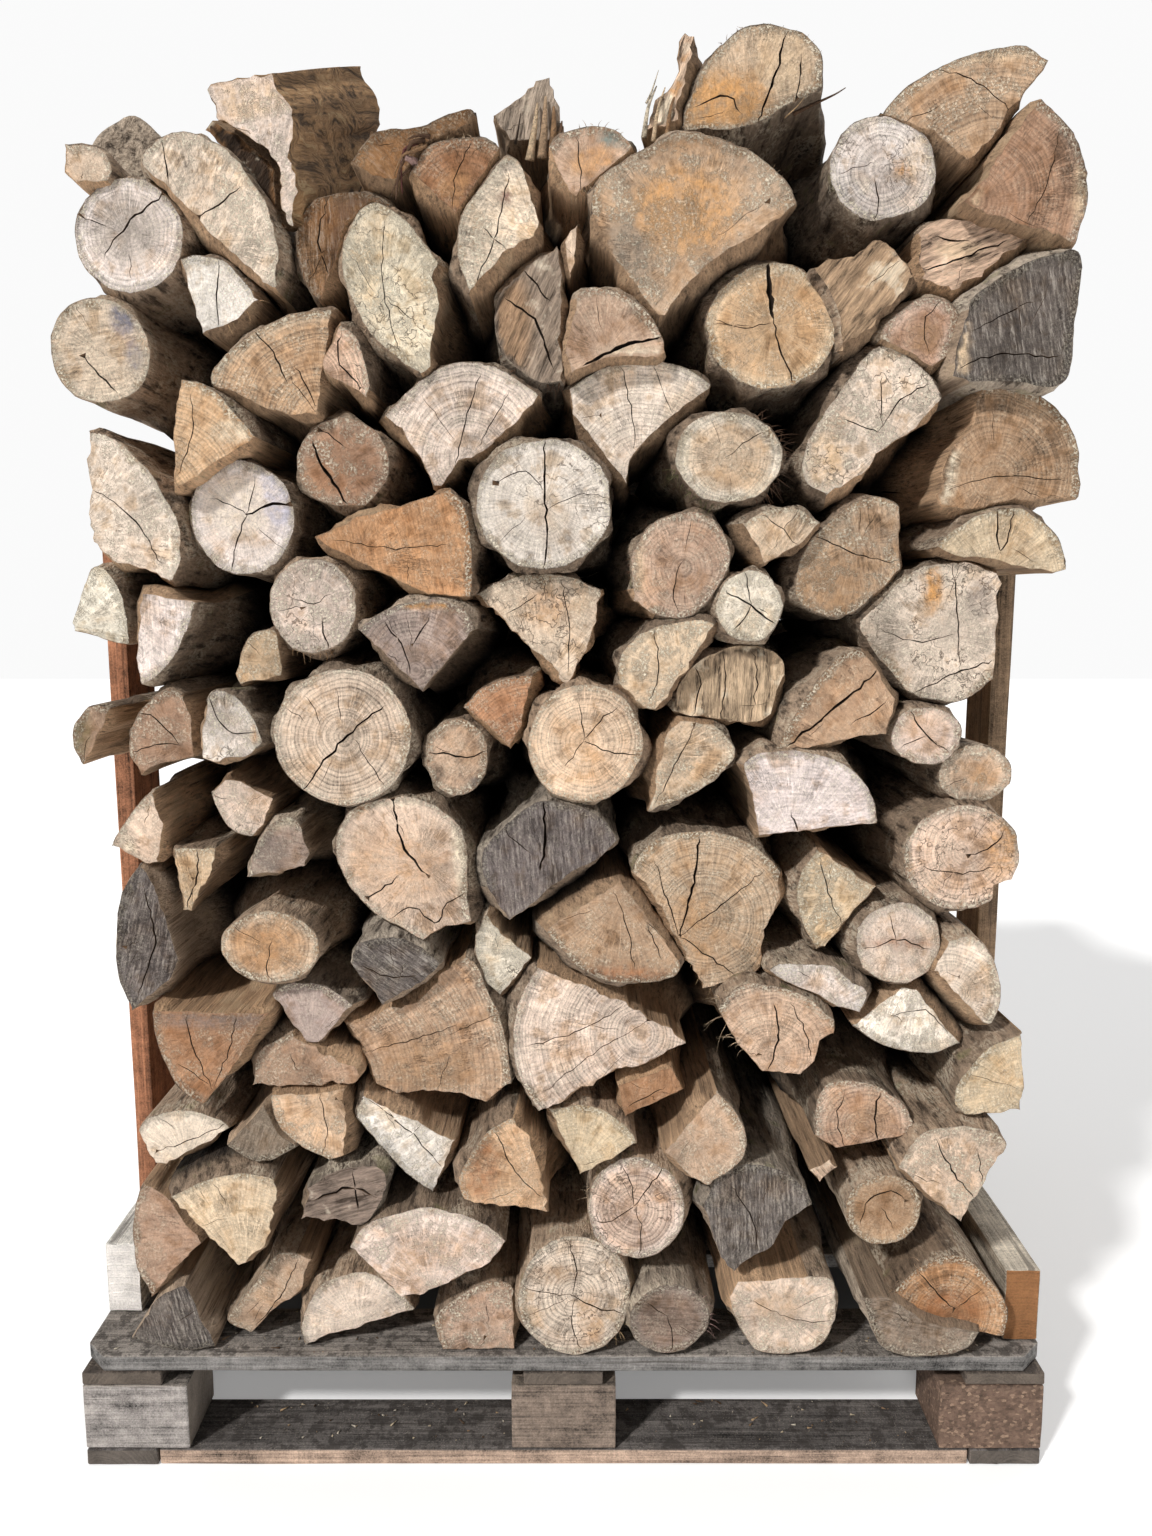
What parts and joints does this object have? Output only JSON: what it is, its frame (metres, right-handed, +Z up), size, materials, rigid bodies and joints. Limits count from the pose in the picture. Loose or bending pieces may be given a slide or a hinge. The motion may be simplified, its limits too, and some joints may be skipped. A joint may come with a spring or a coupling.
{
  "type": "pallet of firewood",
  "caption": "Wooden block pallet stacked high with split and round firewood logs, held at the sides by sills on edge and upright boards.",
  "frame": {"origin": "centre of the pallet's footprint, on the floor under its base boards", "axes": "+X along the front to the right, +Y from the front with the log ends to the back, +Z up"},
  "size_m": [1.2, 1.026, 1.718],
  "materials": {
    "deck_wood": "rough sawn, weathered grey",
    "base_wood": "rough sawn, dirty and dark",
    "block_wood": "pressed chips and end grain, dusty",
    "sill_wood": "sawn timber, dry",
    "post_wood": "sawn board, dry",
    "log_wood": "sawn end grain, split faces and bark"
  },
  "bodies": {
    "root": {"base_runner_left": "base_wood", "base_runner_right": "base_wood", "base_runner_middle": "base_wood", "base_board_front": "base_wood", "base_board_back": "base_wood", "block_front_left": "block_wood", "block_centre_left": "block_wood", "block_back_left": "block_wood", "block_front_middle": "block_wood", "block_centre_middle": "block_wood", "block_back_middle": "block_wood", "block_front_right": "block_wood", "block_centre_right": "block_wood", "block_back_right": "block_wood", "stringer_left": "deck_wood", "stringer_middle": "deck_wood", "stringer_right": "deck_wood", "deck_board_1": "deck_wood", "deck_board_2": "deck_wood", "deck_board_3": "deck_wood", "deck_board_4": "deck_wood", "deck_board_5": "deck_wood", "sill_left": "sill_wood", "sill_right": "sill_wood", "post_left_front": "post_wood", "post_left_back": "post_wood", "post_right_front": "post_wood", "post_right_back": "post_wood", "front_logs_bottom_left": "log_wood", "front_logs_bottom_middle": "log_wood", "front_logs_bottom_right": "log_wood", "front_logs_low_left": "log_wood", "front_logs_low_right": "log_wood", "front_logs_lower_left": "log_wood", "front_log_left_edge": "log_wood", "front_logs_middle_left": "log_wood", "front_logs_centre": "log_wood", "front_logs_middle_right": "log_wood", "front_logs_upper_left": "log_wood", "front_logs_upper_middle": "log_wood", "front_logs_upper_right": "log_wood", "front_logs_top_left": "log_wood", "front_logs_top_middle": "log_wood", "front_log_top_stump": "log_wood", "back_logs_bottom_left": "log_wood", "back_logs_bottom_middle": "log_wood", "back_logs_bottom_right": "log_wood", "back_logs_low_left": "log_wood", "back_logs_low_right": "log_wood", "back_logs_lower_left": "log_wood", "back_log_left_edge": "log_wood", "back_logs_middle_left": "log_wood", "back_logs_centre": "log_wood", "back_logs_middle_right": "log_wood", "back_logs_upper_left": "log_wood", "back_logs_upper_middle": "log_wood", "back_logs_upper_right": "log_wood", "back_logs_top_left": "log_wood", "back_logs_top_middle": "log_wood"}
  },
  "joints": []
}
